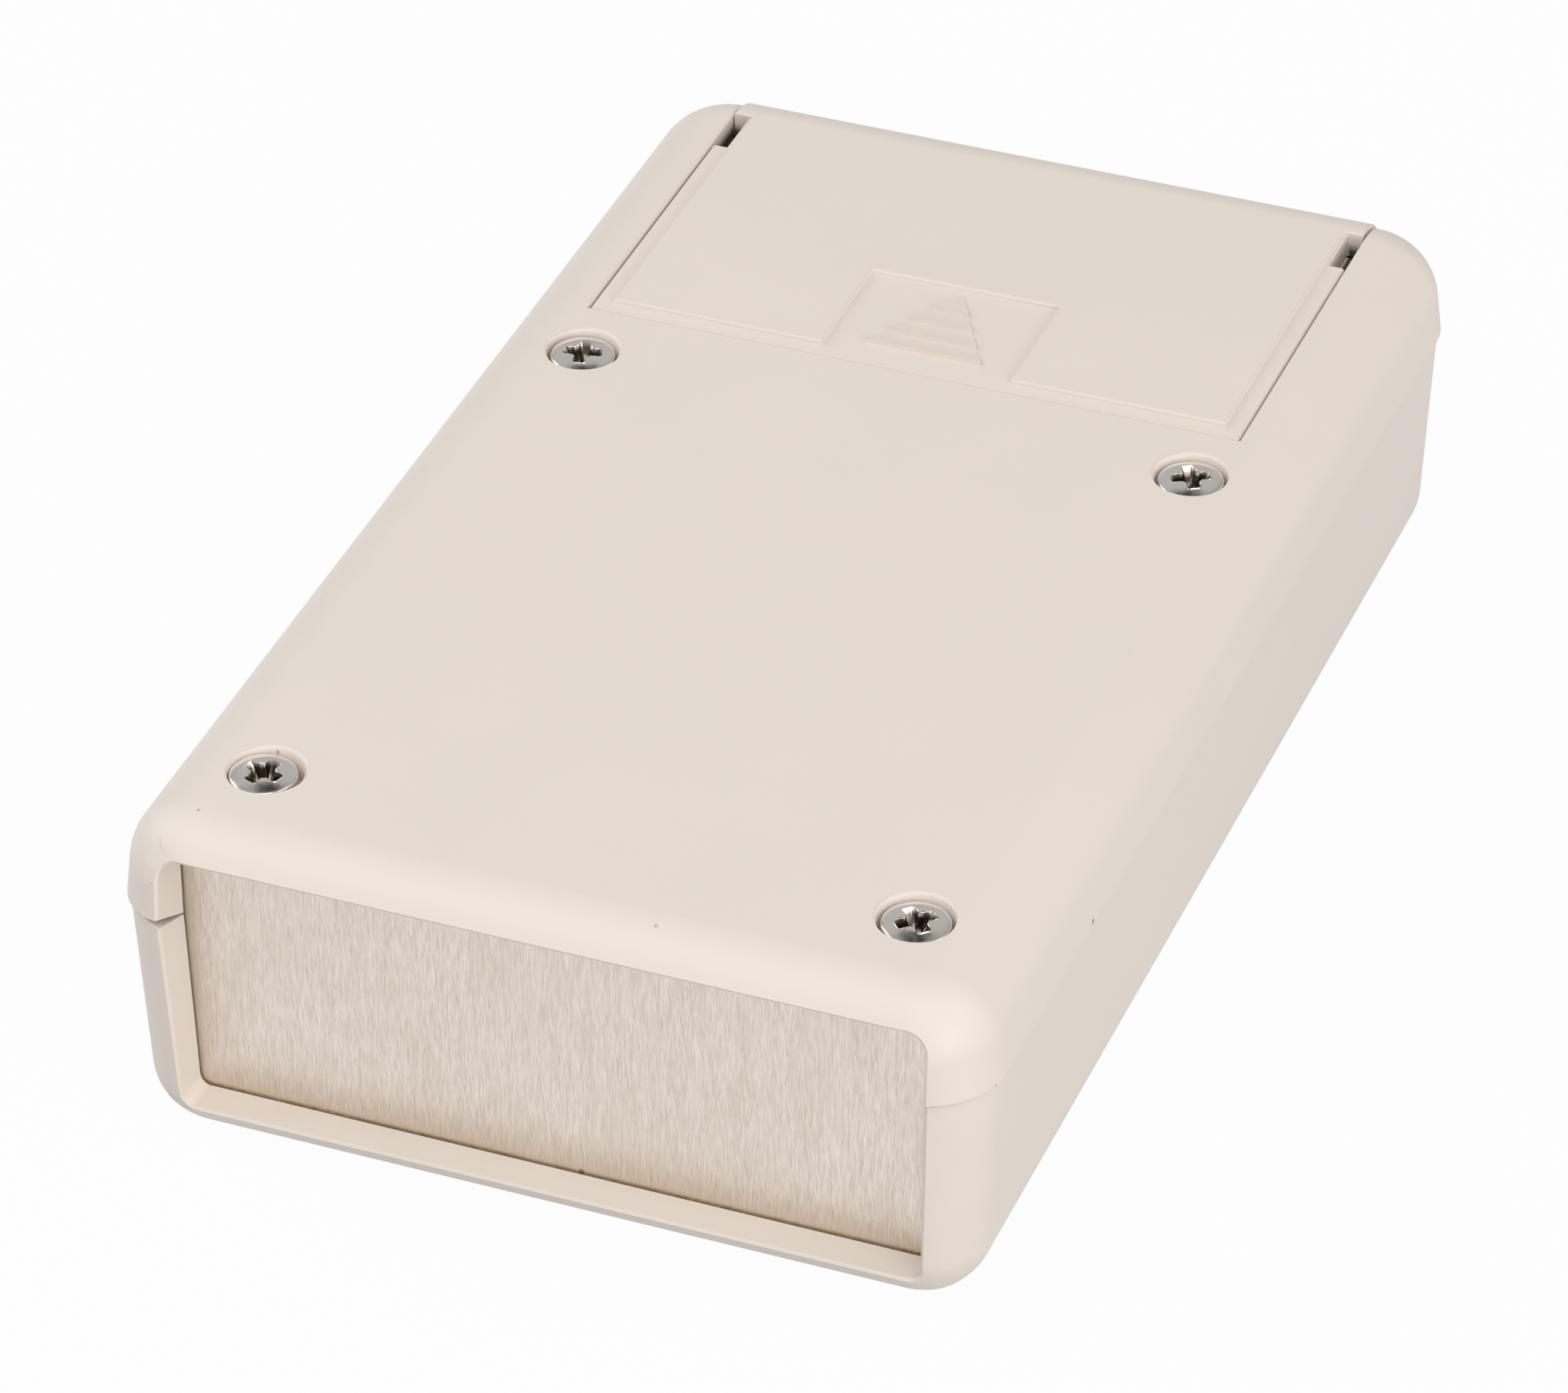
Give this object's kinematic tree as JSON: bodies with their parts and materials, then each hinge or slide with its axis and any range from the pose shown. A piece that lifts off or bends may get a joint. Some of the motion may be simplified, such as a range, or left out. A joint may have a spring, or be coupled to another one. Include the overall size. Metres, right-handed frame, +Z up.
{
  "type": "handheld enclosure",
  "caption": "Two-shell handheld enclosure in off-white plastic with sunk screws, a slide-off battery door and an inset brushed metal end panel.",
  "frame": {"origin": "middle of the front face, which the case lies on", "axes": "+Z up out of the rear face, +Y along the case towards the end that the battery door slides off, +X across"},
  "size_m": [0.0806, 0.1352, 0.0338],
  "materials": {
    "case_plastic": "off-white with a fine grain",
    "panel_metal": "brushed upright",
    "screw_metal": "nickel plated",
    "contact_metal": "nickel plated spring steel"
  },
  "bodies": {
    "case": {"rear_shell": "case_plastic", "front_shell": "case_plastic", "end_panel": "panel_metal", "contact_plus": "contact_metal", "contact_minus": "contact_metal", "contact_bridge": "contact_metal", "screw_near_left": "screw_metal", "screw_near_right": "screw_metal", "screw_far_left": "screw_metal", "screw_far_right": "screw_metal"},
    "battery_door": {"battery_door": "case_plastic"}
  },
  "joints": [
    {"name": "door_slide", "type": "slide", "parent": "case", "child": "battery_door", "axis": [0, 1, 0], "range_m": [0, 0.046]}
  ]
}
